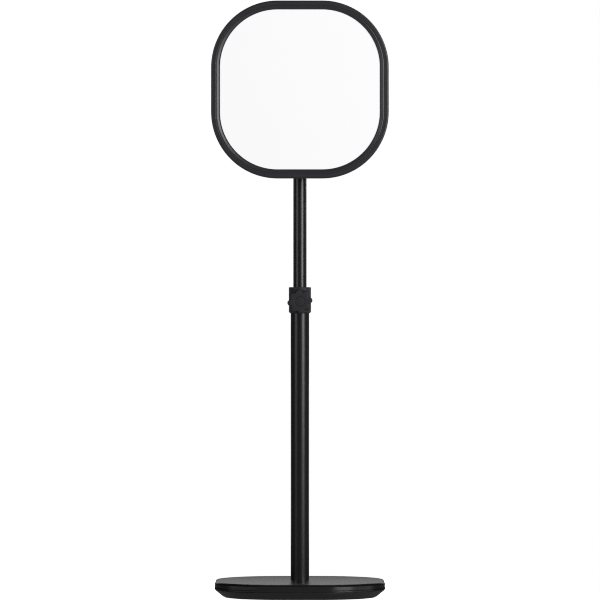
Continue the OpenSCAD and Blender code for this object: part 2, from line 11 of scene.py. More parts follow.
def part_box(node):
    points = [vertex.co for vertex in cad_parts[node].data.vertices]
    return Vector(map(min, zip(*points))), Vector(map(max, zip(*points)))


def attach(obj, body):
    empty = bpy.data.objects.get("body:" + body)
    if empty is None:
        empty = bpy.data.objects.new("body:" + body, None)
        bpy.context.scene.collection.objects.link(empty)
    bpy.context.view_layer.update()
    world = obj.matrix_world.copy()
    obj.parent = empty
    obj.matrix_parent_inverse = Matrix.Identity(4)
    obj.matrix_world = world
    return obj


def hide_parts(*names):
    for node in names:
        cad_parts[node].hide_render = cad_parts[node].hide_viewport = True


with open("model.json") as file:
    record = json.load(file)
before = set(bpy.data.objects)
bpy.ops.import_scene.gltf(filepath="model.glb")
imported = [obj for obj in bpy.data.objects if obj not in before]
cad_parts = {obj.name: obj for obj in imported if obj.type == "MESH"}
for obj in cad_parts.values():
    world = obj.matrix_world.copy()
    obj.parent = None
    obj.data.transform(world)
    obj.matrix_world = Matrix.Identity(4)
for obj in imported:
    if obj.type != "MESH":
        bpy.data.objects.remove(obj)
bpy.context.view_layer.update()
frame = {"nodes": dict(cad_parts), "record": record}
nodes = frame["nodes"]

# ---------------------------------------------------------------- sizes taken from the frame

MM = 0.001
# Turns that bring a piece's own Z to the front, to the back and to the right.
FRONT = Matrix.Rotation(math.radians(90), 4, "X")
BACK = Matrix.Rotation(math.radians(-90), 4, "X")
SIDE = Matrix.Rotation(math.radians(90), 4, "Y")
ARC_STEPS = 28
SIDE_STEPS = 8
TURN_STEPS = 96
SEAM_GAP = 0.12 * MM       # half of the seam that shows between two shells
SHELL_T = 2.2 * MM         # wall of the panel's two shells
BOSS_H = 4 * MM            # how far the round boss stands proud of the panel's back
FLAT_INSET = 20 * MM       # how far in a shell's rounded square changes to circles
DRILL_END = 30 * MM        # far enough for a cutter to leave any piece


def size_of(node):
    """Width, depth and height of a CAD node."""
    low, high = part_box(node)
    return high - low


def middle_of(node):
    """Middle of a CAD node's box."""
    low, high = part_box(node)
    return (low + high) / 2


BASE_W = size_of("base_cover").x
BASE_R = 77.3 * MM
BASE_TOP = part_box("base_cover")[1].z
SEAM_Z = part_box("base_cover")[0].z
PAD_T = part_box("foot_pad")[1].z
PAD_W = size_of("foot_pad").x
LOWER_R = size_of("lower_tube").x / 2
UPPER_R = size_of("upper_tube").x / 2
PANEL_W = size_of("front_bezel").x
PANEL_R = 77.1 * MM
BACK_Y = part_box("rear_cover")[1].y - BOSS_H
PANEL_T = BACK_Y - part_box("front_bezel")[0].y
SEAM_T = BACK_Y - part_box("front_bezel")[1].y
BALL = Vector((0, 0, middle_of("front_bezel").z))
KNOB = middle_of("clamp_knob")
PANEL = Matrix.Translation((0, BACK_Y, BALL.z)) @ FRONT


# ---------------------------------------------------------------- mesh tools

def quarter(steps):
    """Angles from 0 to 90 degrees in equal steps."""
    return [k / steps * math.pi / 2 for k in range(steps + 1)]


def rounded(points, steps=5, closed=True):
    """Turns (a, b, radius) corners into a profile whose corners are arcs of those radii."""
    profile = []
    last = len(points) - 1
    for i, (a, b, radius) in enumerate(points):
        here = Vector((a, b))
        if not radius or (not closed and i in (0, last)):
            profile.append((a, b))
            continue
        back = Vector(points[i - 1][:2]) - here
        on = Vector(points[(i + 1) % len(points)][:2]) - here
        half = back.angle(on) / 2
        reach = min(radius / math.tan(half), 0.5 * back.length, 0.5 * on.length)
        radius = reach * math.tan(half)
        inward = (back.normalized() + on.normalized()).normalized()
        middle = here + inward * (radius / math.sin(half))
        start = here + back.normalized() * reach - middle
        end = here + on.normalized() * reach - middle
        first = math.atan2(start.y, start.x)
        sweep = (math.atan2(end.y, end.x) - first + math.pi) % (2 * math.pi) - math.pi
        for k in range(steps + 1):
            angle = first + sweep * k / steps
            profile.append((middle.x + radius * math.cos(angle),
                            middle.y + radius * math.sin(angle)))
    return profile


def square_ring(width, radius, inset, z):
    """A rounded square brought in by inset, as a ring of points at height z."""
    half = width / 2 - radius
    bend = radius - inset
    corner = [(half + bend * math.cos(a), half + bend * math.sin(a)) for a in quarter(ARC_STEPS)]
    corner += [(half * (1 - 2 * k / SIDE_STEPS), half + bend) for k in range(1, SIDE_STEPS)]
    ring = []
    for turns in range(4):
        turn = Matrix.Rotation(turns * math.pi / 2, 2)
        ring += [Vector((*(turn @ Vector(p)), z)) for p in corner]
    return ring


def square_rings(width, radius, section):
    """One rounded square for each (inset, height) of a section."""
    return [square_ring(width, radius, inset, z) for inset, z in section]


def circle_ring_like(ring, radius, z):
    """A circle with a point in the direction of each point of another ring."""
    return [Vector((p.x, p.y, 0)).normalized() * radius + Vector((0, 0, z)) for p in ring]


def circle_ring(radius, z, steps=TURN_STEPS):
    """A circle of points at height z."""
    return [Vector((radius * math.cos(2 * math.pi * k / steps),
                    radius * math.sin(2 * math.pi * k / steps), z)) for k in range(steps)]


def skin(name, rings, closed=True, angle=32):
    """Joins rings of equally many points into one closed, smooth-shaded mesh."""
    count = len(rings[0])
    pairs = list(zip(rings, rings[1:] + rings[:1])) if closed else list(zip(rings, rings[1:]))
    mesh = bpy.data.meshes.new(name)
    form = bmesh.new()
    made = {id(ring): [form.verts.new(p) for p in ring] for ring in rings}
    for low, high in pairs:
        a, b = made[id(low)], made[id(high)]
        for k in range(count):
            form.faces.new((a[k], a[(k + 1) % count], b[(k + 1) % count], b[k]))
    if not closed:
        form.faces.new(made[id(rings[0])])
        form.faces.new(made[id(rings[-1])])
    bmesh.ops.remove_doubles(form, verts=form.verts, dist=1e-7)
    bmesh.ops.recalc_face_normals(form, faces=form.faces)
    form.to_mesh(mesh)
    form.free()
    piece = bpy.data.objects.new(name, mesh)
    bpy.context.scene.collection.objects.link(piece)
    return smooth(piece, angle)


def smooth(piece, angle=32):
    """Smooth shading that stays sharp where faces meet at more than this angle, in degrees."""
    for face in piece.data.polygons:
        face.use_smooth = True
    piece.data.set_sharp_from_angle(angle=math.radians(angle))
    if not piece.modifiers:
        level = piece.modifiers.new("even_normals", "WEIGHTED_NORMAL")
        level.keep_sharp = True
    return piece


def lathe(name, profile, closed=True, steps=TURN_STEPS):
    """Turns a profile of (radius, height) about Z."""
    return skin(name, [circle_ring(r, z, steps) for r, z in profile], closed)


def moved(piece, matrix):
    """The piece after its mesh is moved by a matrix."""
    piece.data.transform(matrix)
    return piece


def joined(name, pieces):
    """One object from several closed forms."""
    form = bmesh.new()
    for piece in pieces:
        form.from_mesh(piece.data)
    mesh = bpy.data.meshes.new(name)
    form.to_mesh(mesh)
    form.free()
    for piece in pieces:
        bpy.data.objects.remove(piece)
    whole = bpy.data.objects.new(name, mesh)
    bpy.context.scene.collection.objects.link(whole)
    return smooth(whole)


def boolean(piece, tool, operation="DIFFERENCE"):
    """Cuts one mesh with another, or unites them, and keeps the result as plain mesh."""
    piece.modifiers.clear()
    modifier = piece.modifiers.new("cut", "BOOLEAN")
    modifier.operation = operation
    modifier.solver = "EXACT"
    modifier.object = tool
    graph = bpy.context.evaluated_depsgraph_get()
    result = bpy.data.meshes.new_from_object(piece.evaluated_get(graph))
    piece.modifiers.clear()
    piece.data = result
    bpy.data.objects.remove(tool)
    return smooth(piece)


def prism(name, outline, low, high, edge=0.0):
    """An outline of (x, y) carried from low to high, with its end edges rounded by edge."""
    middle = sum((Vector(p) for p in outline), Vector((0, 0))) / len(outline)
    rings = []
    for z, inset in edge_steps(low, high, edge):
        ring = []
        for p in outline:
            away = Vector(p) - middle
            flat = middle + away * (1 - inset / max(away.length, 1e-6))
            ring.append(Vector((flat.x, flat.y, z)))
        rings.append(ring)
    return skin(name, rings, closed=False)


def edge_steps(low, high, edge, steps=4):
    """Heights and insets that round both ends of a prism."""
    if not edge:
        return [(low, 0.0), (high, 0.0)]
    bend = [(edge * (1 - math.cos(a)), edge * (1 - math.sin(a))) for a in quarter(steps)]
    ends = [(low + z, inset) for z, inset in bend]
    return ends + [(high - z, inset) for z, inset in reversed(bend)]


def drill(name, radius, start, steps=TURN_STEPS):
    """A round cutter along Z that begins at start and ends outside the piece."""
    profile = [(0, start), (radius, start), (radius, DRILL_END), (0, DRILL_END)]
    return lathe(name, profile, closed=False, steps=steps)


# ---------------------------------------------------------------- materials

def link(tree, a, out, b, into):
    """Joins an output of one shader node to an input of another."""
    tree.links.new(a.outputs[out], b.inputs[into])


def surface(name, colour, rough, metal=0.0, grain=0.35 * MM, bump=0.12, vary=0.08, wear=0.25,
            specular=0.5, stretch=(1, 1, 1)):
    """Moulded, painted or machined: fine grain, uneven gloss, and edges worn a little paler."""
    material = bpy.data.materials.new(name)
    material.use_nodes = True
    tree = material.node_tree
    shader = tree.nodes["Principled BSDF"]
    shader.inputs["Metallic"].default_value = metal
    shader.inputs["Specular IOR Level"].default_value = specular
    place = tree.nodes.new("ShaderNodeTexCoord")
    scale = tree.nodes.new("ShaderNodeVectorMath")
    scale.operation = "MULTIPLY"
    scale.inputs[1].default_value = stretch
    link(tree, place, "Object", scale, 0)

    fine = tree.nodes.new("ShaderNodeTexNoise")
    fine.inputs["Scale"].default_value = 1 / grain
    fine.inputs["Detail"].default_value = 2
    link(tree, scale, 0, fine, "Vector")
    relief = tree.nodes.new("ShaderNodeBump")
    relief.inputs["Strength"].default_value = bump
    relief.inputs["Distance"].default_value = grain / 2
    link(tree, fine, "Fac", relief, "Height")
    link(tree, relief, "Normal", shader, "Normal")

    broad = tree.nodes.new("ShaderNodeTexNoise")
    broad.inputs["Scale"].default_value = 35
    broad.inputs["Detail"].default_value = 5
    link(tree, place, "Object", broad, "Vector")
    gloss = tree.nodes.new("ShaderNodeMapRange")
    gloss.inputs["From Min"].default_value = 0.3
    gloss.inputs["From Max"].default_value = 0.7
    gloss.inputs["To Min"].default_value = rough - vary / 2
    gloss.inputs["To Max"].default_value = rough + vary / 2
    link(tree, broad, "Fac", gloss, "Value")
    link(tree, gloss, "Result", shader, "Roughness")

    shape = tree.nodes.new("ShaderNodeNewGeometry")
    edges = tree.nodes.new("ShaderNodeMapRange")
    edges.inputs["From Min"].default_value = 0.53
    edges.inputs["From Max"].default_value = 0.62
    edges.inputs["To Max"].default_value = wear
    link(tree, shape, "Pointiness", edges, "Value")
    worn = tree.nodes.new("ShaderNodeMath")
    worn.operation = "MULTIPLY"
    link(tree, edges, "Result", worn, 0)
    link(tree, broad, "Fac", worn, 1)
    mix = tree.nodes.new("ShaderNodeMix")
    mix.data_type = "RGBA"
    mix.inputs["A"].default_value = (*colour, 1)
    mix.inputs["B"].default_value = (*(min(1, 2.2 * c + 0.02) for c in colour), 1)
    link(tree, worn, 0, mix, "Factor")
    link(tree, mix, "Result", shader, "Base Color")
    return material


def opal_material(name):
    """Opal acrylic, lit evenly from within."""
    material = surface(name, (0.35, 0.35, 0.355), 0.45, grain=0.6 * MM, bump=0.02, wear=0)
    shader = material.node_tree.nodes["Principled BSDF"]
    shader.inputs["Emission Color"].default_value = (0.99, 0.99, 1.0, 1)
    shader.inputs["Emission Strength"].default_value = 0.715
    return material


def clear_material(name):
    """Clear acrylic."""
    material = surface(name, (0.93, 0.97, 0.99), 0.08, bump=0.01, vary=0.04, wear=0)
    shader = material.node_tree.nodes["Principled BSDF"]
    shader.inputs["Transmission Weight"].default_value = 0.9
    shader.inputs["IOR"].default_value = 1.49
    return material


MATERIALS = {
    "base_shell": surface("base_shell", (0.02, 0.02, 0.021), 0.26, grain=0.5 * MM, bump=0.012,
                          vary=0.03, specular=0.3),
    "base_shell_lower": surface("base_shell_lower", (0.028, 0.028, 0.03), 0.5, grain=0.5 * MM),
    "steel": surface("steel", (0.45, 0.46, 0.48), 0.35, metal=1, stretch=(1, 8, 1)),
    "rubber": surface("rubber", (0.012, 0.012, 0.012), 0.75, grain=0.8 * MM, bump=0.2, wear=0.1),
    "screw_steel": surface("screw_steel", (0.5, 0.5, 0.52), 0.3, metal=1, wear=0),
    "tube_black": surface("tube_black", (0.011, 0.011, 0.012), 0.31, bump=0.02, grain=0.3 * MM,
                          vary=0.04),
    "nylon_black": surface("nylon_black", (0.02, 0.02, 0.022), 0.45),
    "clamp_plastic": surface("clamp_plastic", (0.03, 0.028, 0.032), 0.55, grain=0.45 * MM,
                             bump=0.2, specular=0.3),
    "brass": surface("brass", (0.7, 0.52, 0.25), 0.28, metal=1, stretch=(1, 1, 6)),
    "screw_black": surface("screw_black", (0.03, 0.03, 0.03), 0.4, metal=0.6),
    "nylon_natural": surface("nylon_natural", (0.72, 0.7, 0.65), 0.4),
    "cap_plastic": surface("cap_plastic", (0.03, 0.028, 0.032), 0.52, grain=0.45 * MM,
                           bump=0.15, specular=0.3),
    "housing_black": surface("housing_black", (0.02, 0.02, 0.021), 0.42, grain=0.4 * MM, bump=0.15),
    "ball_metal": surface("ball_metal", (0.3, 0.3, 0.31), 0.25, metal=1),
    "bezel_plastic": surface("bezel_plastic", (0.03, 0.028, 0.033), 0.4, grain=0.45 * MM,
                             bump=0.1),
    "diffuser": opal_material("diffuser"),
    "foam": surface("foam", (0.02, 0.02, 0.02), 0.9, bump=0.4),
    "clear_acrylic": clear_material("clear_acrylic"),
    "white_sheet": surface("white_sheet", (0.85, 0.85, 0.84), 0.6),
    "led_tape": surface("led_tape", (0.8, 0.78, 0.7), 0.5),
    "led_phosphor": surface("led_phosphor", (0.9, 0.76, 0.25), 0.35),
    "tray_aluminium": surface("tray_aluminium", (0.7, 0.71, 0.72), 0.35, metal=1,
                              stretch=(1, 1, 12)),
    "rear_plastic": surface("rear_plastic", (0.03, 0.029, 0.032), 0.5, grain=0.45 * MM, bump=0.2,
                            wear=0),
    "circuit_board": surface("circuit_board", (0.02, 0.13, 0.06), 0.3),
    "component_black": surface("component_black", (0.02, 0.02, 0.022), 0.4),
    "lead_red": surface("lead_red", (0.4, 0.03, 0.02), 0.4),
    "button_plastic": surface("button_plastic", (0.07, 0.07, 0.075), 0.4, bump=0.05),
}
SLOT_OF = {row["node"]: row["material_slot"] for row in frame["record"]["subparts"]}
BODY_OF = {node: body for body, members in frame["record"]["behaviour"]["bodies"].items()
           for node in members}


def stand_for(piece, node):
    """The piece takes a CAD node's place, body, slot and material."""
    piece.data.materials.clear()
    piece.data.materials.append(MATERIALS[SLOT_OF[node]])
    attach(piece, BODY_OF[node])
    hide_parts(node)
    return piece


# ---------------------------------------------------------------- base

def base_pieces():
    """The cover with its rolled edge, the pan that tapers in below it, and the grooved foot pad."""
    wall = 2.4 * MM
    hole = LOWER_R + 0.15 * MM
    section = rounded([
        (0, SEAM_Z + SEAM_GAP, 0.4 * MM), (0.05 * MM, SEAM_Z + 1.4 * MM, 1.5 * MM),
        (0.28 * MM, SEAM_Z + 2.9 * MM, 2 * MM), (0.28 * MM, BASE_TOP, 3.2 * MM),
        (FLAT_INSET, BASE_TOP, 0), (FLAT_INSET, BASE_TOP - wall, 0),
        (wall, BASE_TOP - wall, 1.8 * MM), (wall, SEAM_Z + SEAM_GAP, 0)], steps=10)
    ring = square_ring(BASE_W, BASE_R, 0, 0)
    rings = square_rings(BASE_W, BASE_R, section)
    split = section.index((FLAT_INSET, BASE_TOP)) + 1
    centre = [circle_ring_like(ring, hole + 0.3 * MM, BASE_TOP),
              circle_ring_like(ring, hole, BASE_TOP - 0.3 * MM),
              circle_ring_like(ring, hole, BASE_TOP - wall)]
    stand_for(skin("base_cover_shell", rings[:split] + centre + rings[split:]), "base_cover")

    floor = PAD_T
    inner_floor = floor + 2 * MM
    rim = SEAM_Z - SEAM_GAP
    taper = 10 * MM
    pan = rounded([
        (FLAT_INSET, floor, 0), (taper, floor, 1.2 * MM), (0, rim, 0.35 * MM), (4 * MM, rim, 0),
        (4 * MM, SEAM_Z - 0.8 * MM, 0), (taper + 0.7 * MM, inner_floor, 0),
        (FLAT_INSET, inner_floor, 0)], steps=6)
    hole = 8.5 * MM
    centre = [circle_ring_like(ring, hole, inner_floor), circle_ring_like(ring, hole, floor)]
    stand_for(skin("base_pan_shell", square_rings(BASE_W, BASE_R, pan) + centre), "base_pan")

    outer = (BASE_W - PAD_W) / 2
    groove = outer + 6 * MM
    depth = 0.4 * MM
    pad = rounded([
        (groove + 1 * MM, 0, 0.2 * MM), (groove + 1 * MM, depth, 0.2 * MM),
        (groove - 1 * MM, depth, 0.2 * MM), (groove - 1 * MM, 0, 0.2 * MM),
        (outer, 0, 0.25 * MM), (outer, PAD_T, 0.1 * MM), (FLAT_INSET * 2, PAD_T, 0)], closed=False)
    rings = square_rings(BASE_W, BASE_R, pad)
    first = [circle_ring_like(ring, 0, 0)]
    last = [circle_ring_like(ring, 0, PAD_T)]
    stand_for(skin("foot_pad_sheet", first + rings + last, closed=False), "foot_pad")


# ---------------------------------------------------------------- pole and clamp

def tube_piece(name, node, radius):
    """A drawn tube with its ends deburred."""
    low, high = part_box(node)
    bore = radius - 1.2 * MM
    edge = 0.4 * MM
    profile = rounded([(radius, low.z, edge), (radius, high.z, edge),
                       (bore, high.z, edge), (bore, low.z, edge)], steps=3)
    return stand_for(lathe(name, profile), node)


def rounded_rectangle(width, height, radius, steps=6):
    """Outline of a rectangle with round corners, centred on the origin."""
    points = []
    for corner in range(4):
        turn = corner * math.pi / 2
        half = Vector((width, height)) / 2 if corner % 2 == 0 else Vector((height, width)) / 2
        centre = Matrix.Rotation(turn, 2) @ (half - Vector((radius, radius)))
        for a in quarter(steps):
            points.append((centre.x + radius * math.cos(turn + a),
                           centre.y + radius * math.sin(turn + a)))
    return points


def clamp_pieces():
    """The collar: a turned body, a boss for the knob's screw, and a grub screw's hole behind."""
    low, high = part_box("clamp_collar")
    radius = size_of("clamp_collar").x / 2
    chamfer = 1.5 * MM
    shoulder = low.z + 8.4 * MM
    bore = UPPER_R + 0.15 * MM
    body = lathe("clamp_collar_body", rounded([
        (radius - chamfer, low.z, 0.3 * MM), (radius, low.z + chamfer, 0.8 * MM),
        (radius, high.z, 0.6 * MM), (bore, high.z, 0.4 * MM), (bore, shoulder, 0),
        (LOWER_R, shoulder, 0), (LOWER_R, low.z, 0.2 * MM)]))
    at_knob = Matrix.Translation((0, 0, KNOB.z)) @ FRONT
    outline = rounded_rectangle(16 * MM, 18 * MM, 3 * MM)
    boss = prism("clamp_boss", outline, UPPER_R + 2 * MM, -low.y, 0.5 * MM)
    body = boolean(body, moved(boss, at_knob), "UNION")
    body = boolean(body, moved(drill("clamp_bore", 4 * MM, UPPER_R - MM), at_knob))
    grub = moved(drill("grub_hole", 1.5 * MM, 5 * MM),
                 Matrix.Translation((0, 0, low.z + 4.5 * MM)) @ BACK)
    stand_for(boolean(body, grub), "clamp_collar")


def knob_piece(name, node, lobes, tip, valley, height, turn, matrix):
    """A moulded hand knob: round lobes with hollows between, and a recess for its cap."""
    steps = lobes * 24
    cap = 5.75 * MM
    screw = 3 * MM
    recess = 0.8 * MM
    foot = 0.9 * MM
    edge = 2.6 * MM
    land = cap + 0.6 * MM

    def outline(inset, z, blend=0.0):
        """The lobed outline at height z, blended towards the ring round the cap."""
        ring = []
        for k in range(steps):
            angle = 2 * math.pi * k / steps
            wave = 0.5 - 0.5 * math.cos(lobes * (angle - turn))
            radius = tip - (tip - valley) * wave ** 1.4 - inset
            radius = radius * (1 - blend) + land * blend
            ring.append(Vector((radius * math.cos(angle), radius * math.sin(angle), z)))
        return ring

    rings = [circle_ring(screw, 0, steps), circle_ring(2 * screw, 0, steps), outline(foot, 0)]
    rings += [outline(foot * (1 - math.sin(a)), foot * (1 - math.cos(a))) for a in quarter(4)[1:]]
    rings += [outline(edge * (1 - math.cos(a)), height - edge + edge * math.sin(a))
              for a in quarter(10)]
    rings += [outline(edge, height - 0.02 * MM, 0.5), circle_ring(land, height, steps),
              circle_ring(cap + 0.15 * MM, height - 0.15 * MM, steps),
              circle_ring(cap, height - 0.4 * MM, steps),
              circle_ring(cap, height - recess, steps), circle_ring(screw, height - recess, steps)]
    piece = skin(name, rings)
    return stand_for(moved(piece, matrix), node)


def cap_piece(name, node, matrix):
    """A snap-in cap with a soft rim and a very slight dome."""
    radius = 5.65 * MM
    dome = 0.25 * MM
    height = 1.0 * MM
    edge = 0.4 * MM
    profile = [(0, 0), (radius, 0)]
    profile += [(radius - edge * (1 - math.cos(a)), height - edge + edge * math.sin(a))
                for a in quarter(5)]
    profile += [(radius * 0.93 * t, height + dome * (1 - t * t))
                for t in (0.95, 0.8, 0.6, 0.4, 0.2, 0)]
    return stand_for(moved(lathe(name, profile, closed=False), matrix), node)


def knob_pieces():
    """The clamp's knob in front and the ball joint's knob behind, each with its cap."""
    cap_depth = 0.8 * MM
    low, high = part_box("clamp_knob")
    knob_piece("clamp_knob_grip", "clamp_knob", lobes=8, tip=14.7 * MM, valley=12 * MM,
               height=high.y - low.y, turn=math.radians(7.5),
               matrix=Matrix.Translation((0, high.y, KNOB.z)) @ FRONT)
    cap_piece("clamp_knob_disc", "clamp_knob_cap",
              Matrix.Translation((0, low.y + cap_depth, KNOB.z)) @ FRONT)

    low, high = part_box("lock_knob")
    z = (low.z + high.z) / 2
    knob_piece("lock_knob_grip", "lock_knob", lobes=6, tip=11.4 * MM, valley=8.4 * MM,
               height=high.y - low.y, turn=0, matrix=Matrix.Translation((0, low.y, z)) @ BACK)
    cap_piece("lock_knob_disc", "lock_knob_cap",
              Matrix.Translation((0, high.y - cap_depth, z)) @ BACK)


# ---------------------------------------------------------------- light head

def bezel_piece():
    """The front frame: a rounded outer band, a fine step, and an inner band down to the window."""
    width = 10.4 * MM
    lip = PANEL_T - 2 * MM
    step = PANEL_T - 0.6 * MM
    section = rounded([
        (0, SEAM_T + SEAM_GAP, 0.3 * MM), (0, PANEL_T, 1.8 * MM), (5.1 * MM, PANEL_T, 0.4 * MM),
        (5.3 * MM, step, 0.2 * MM), (5.7 * MM, step, 0.25 * MM),
        (6.5 * MM, PANEL_T - 0.25 * MM, 1.2 * MM), (9.1 * MM, PANEL_T - 1.35 * MM, 0.5 * MM),
        (width, PANEL_T - 1.4 * MM, 0.15 * MM), (width, lip, 0.1 * MM),
        (SHELL_T, lip, 0), (SHELL_T, SEAM_T + SEAM_GAP, 0)], steps=8)
    frame_skin = skin("front_bezel_frame", square_rings(PANEL_W, PANEL_R, section))
    stand_for(moved(frame_skin, PANEL), "front_bezel")


def diffuser_piece():
    """The opal sheet in the window, with its edges broken."""
    low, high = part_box("diffuser")
    inset = (PANEL_W - (high.x - low.x)) / 2
    front = BACK_Y - low.y
    back = BACK_Y - high.y
    edge = 0.25 * MM
    inner = 40 * MM
    section = [(inner, back), (edge, back), (0, back + edge),
               (0, front - edge), (edge, front), (inner, front)]
    rings = square_rings(PANEL_W, PANEL_R, [(inset + i, z) for i, z in section])
    first = [circle_ring_like(rings[0], 0, back)]
    last = [circle_ring_like(rings[0], 0, front)]
    piece = skin("diffuser_sheet", first + rings + last, closed=False)
    stand_for(moved(piece, PANEL), "diffuser")


def hole_cutter(name, x, y, radius):
    """A round cutter from behind the back face, flared so that the hole's mouth is softened."""
    start = -1 * MM
    depth = 5 * MM
    flare = 0.35 * MM
    profile = [(0, start), (radius + flare + MM, start), (radius + flare, 0), (radius, flare),
               (radius, depth), (0, depth)]
    cutter = lathe(name, profile, closed=False, steps=48)
    return moved(cutter, Matrix.Translation((x, y, 0)))


def rear_cover_piece():
    """The back shell with its round boss, screw holes, socket, button holes and vent slots."""
    boss_r = 22 * MM
    bore = 5 * MM
    rim = SEAM_T - SEAM_GAP
    outer = rounded([(0, rim, 0.3 * MM), (0, 0, 7 * MM), (FLAT_INSET, 0, 0)],
                    steps=12, closed=False)
    inner = rounded([(FLAT_INSET, SHELL_T, 0), (SHELL_T, SHELL_T, 4.8 * MM), (SHELL_T, rim, 0)],
                    steps=8, closed=False)
    like = square_ring(PANEL_W, PANEL_R, 0, 0)
    boss = rounded([(boss_r + 1.5 * MM, 0, 0), (boss_r, 0, 0.8 * MM),
                    (boss_r - 0.6 * MM, -BOSS_H, 1.2 * MM), (bore, -BOSS_H, 0.3 * MM),
                    (bore, SHELL_T, 0), (boss_r, SHELL_T, 0)], steps=5, closed=False)
    middle = [circle_ring_like(like, r, z) for r, z in boss]
    cover = skin("rear_cover_shell", square_rings(PANEL_W, PANEL_R, outer) + middle
                 + square_rings(PANEL_W, PANEL_R, inner))

    def local(node):
        """Where a node's middle is on the panel's back."""
        point = PANEL.inverted() @ middle_of(node)
        return point.x, point.y

    cutters = [hole_cutter("screw_hole", x, y, 3.1 * MM) for x, y in screw_places()]
    cutters.append(hole_cutter("jack_hole", *local("dc_jack"), 4.6 * MM))
    for button in BUTTONS:
        cap_r = size_of(button).x / 2 - MM
        cutters.append(hole_cutter("button_hole", *local(button), cap_r + 0.1 * MM))
    vents, pitch, vent_y = 16, 6, 66 * MM
    slot = rounded_rectangle(2.2 * MM, 16 * MM, 1.09 * MM, 5)
    for k in range(vents):
        x = (pitch * k - pitch * (vents - 1) / 2) * MM
        cutters.append(prism("vent_slot", [(x + px, vent_y + py) for px, py in slot],
                             -5 * MM, 5 * MM))
    tool = joined("cutters", cutters)
    cover = boolean(cover, tool)
    stand_for(moved(cover, PANEL), "rear_cover")


def screw_places():
    """Centres of the rear cover's screws in the panel's own frame, found from the screws' node."""
    to_panel = PANEL.inverted()
    found = []
    for vertex in nodes["cover_screws"].data.vertices:
        p = to_panel @ vertex.co
        near = [f for f in found if (f[0] - p.xy).length < 6 * MM]
        if near:
            near[0][1].append(p.xy.copy())
        else:
            found.append((p.xy.copy(), [p.xy.copy()]))
    centres = []
    for _, points in found:
        low = Vector((min(q.x for q in points), min(q.y for q in points)))
        high = Vector((max(q.x for q in points), max(q.y for q in points)))
        centres.append(tuple((low + high) / 2))
    return centres


BUTTONS = ("power_button", "brighter_button", "dimmer_button", "colour_button")


def button_piece(node):
    """A push button: a softly domed cap, its retaining flange and its stem."""
    middle = PANEL.inverted() @ middle_of(node)
    low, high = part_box(node)
    proud = high.y - BACK_Y
    reach = BACK_Y - low.y
    flange = (high.x - low.x) / 2
    radius = flange - MM
    crown = radius * 0.9
    dome = 0.25 * MM
    flange_low, flange_high = 2.3 * MM, 3.2 * MM
    stem = 1.5 * MM
    profile = [(crown * t, -proud + dome * t * t) for t in (0, 0.25, 0.5, 0.75, 1)]
    profile += rounded([
        (crown, -proud + dome, 0), (radius, -proud + 0.3 * MM, 0.3 * MM), (radius, flange_low, 0),
        (flange, flange_low, 0.15 * MM), (flange, flange_high, 0.15 * MM), (stem, flange_high, 0),
        (stem, reach, 0), (0, reach, 0)], closed=False)[1:]
    piece = lathe(node + "_cap", profile, closed=False, steps=64)
    moved(piece, PANEL @ Matrix.Translation((middle.x, middle.y, 0)))
    stand_for(piece, node)


# ---------------------------------------------------------------- ball joint

def neck_piece():
    """The socket on the upper tube's end, with its grub screw's hole."""
    low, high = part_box("neck_socket")
    radius = (high.x - low.x) / 2
    spigot = 10.1 * MM
    collar = low.z + 12 * MM
    tube_end = low.z + 10 * MM
    neck = lathe("neck_socket_body", rounded([
        (UPPER_R, low.z, 0), (UPPER_R + 2.4 * MM, low.z, 0.5 * MM),
        (radius, low.z + 6 * MM, 3 * MM), (radius, collar, 0.3 * MM), (spigot, collar, 0),
        (spigot, high.z, 0), (0, high.z, 0), (0, tube_end, 0), (UPPER_R, tube_end, 0)], steps=6))
    grub = moved(drill("grub_hole", 2 * MM, 5 * MM, steps=32),
                 Matrix.Translation((0, 0, low.z + 7.2 * MM)) @ SIDE)
    stand_for(boolean(neck, grub), "neck_socket")


def lock_ring_piece():
    """The knurled ring that locks the stud in the panel's mount."""
    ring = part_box("stud_lock_ring")
    thickness = ring[1].y - ring[0].y
    radius = (ring[1].x - ring[0].x) / 2
    bore = 3.2 * MM
    chamfer = 0.6 * MM
    bevel = 0.8 * MM
    knurls = 24
    steps = knurls * 8

    def knurled(inset, z):
        """The ring's outline with a groove between every two knurls."""
        points = []
        for k in range(steps):
            angle = 2 * math.pi * k / steps
            r = radius - inset - 0.45 * MM * (0.5 - 0.5 * math.cos(knurls * angle)) ** 3
            points.append(Vector((r * math.cos(angle), r * math.sin(angle), z)))
        return points

    rings = [circle_ring(bore, 0, steps), knurled(bevel, 0), knurled(0, chamfer),
             knurled(0, thickness - chamfer), knurled(bevel, thickness),
             circle_ring(bore, thickness, steps)]
    piece = moved(skin("stud_lock_ring_body", rings),
                  Matrix.Translation((0, ring[1].y, BALL.z)) @ FRONT)
    stand_for(piece, "stud_lock_ring")


# ---------------------------------------------------------------- build

base_pieces()
tube_piece("lower_tube_body", "lower_tube", LOWER_R)
tube_piece("upper_tube_body", "upper_tube", UPPER_R)
clamp_pieces()
knob_pieces()
bezel_piece()
diffuser_piece()
rear_cover_piece()
for button in BUTTONS:
    button_piece(button)
neck_piece()
lock_ring_piece()

for name, node in nodes.items():
    node.data.materials.clear()
    node.data.materials.append(MATERIALS[SLOT_OF[name]])

# CAD nodes that show their own edges get a small bevel, of this width in millimetres.
for name, width in (("ball_housing", 0.5), ("ball_stud", 0.15), ("mount_insert", 0.15),
                    ("dc_jack", 0.2), ("guide_bush", 0.2), ("cover_screws", 0.1)):
    soften = nodes[name].modifiers.new("soft_edges", "BEVEL")
    soften.width = width * MM
    soften.segments = 3
    soften.limit_method = "ANGLE"
    soften.angle_limit = math.radians(40)
    soften.harden_normals = True


# ---------------------------------------------------------------- floor, light and camera

